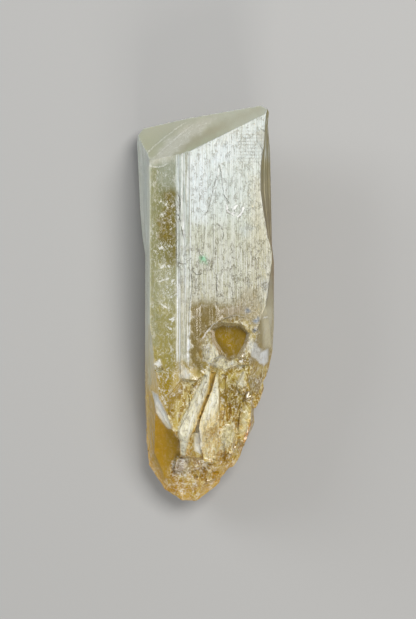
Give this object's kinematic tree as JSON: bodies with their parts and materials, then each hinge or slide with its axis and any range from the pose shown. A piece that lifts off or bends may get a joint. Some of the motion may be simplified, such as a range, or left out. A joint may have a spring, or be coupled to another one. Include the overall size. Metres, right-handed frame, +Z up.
{
  "type": "danburite crystal",
  "caption": "Loose wedge-tipped danburite prism, frosted at the tip and honey-coloured at its broken root, lying on its broad back face.",
  "frame": {"origin": "on the resting face, under the middle of the crystal's bounding box", "axes": "+Z up from the resting face, +Y along the crystal towards its wedge-shaped tip, +X across it"},
  "size_m": [0.0208, 0.0598, 0.0149],
  "materials": {
    "honey_crystal": "frosted and striated prism faces, clear honey-coloured interior, glassy breaks"
  },
  "bodies": {
    "root": {"danburite_crystal": "honey_crystal"}
  },
  "joints": []
}
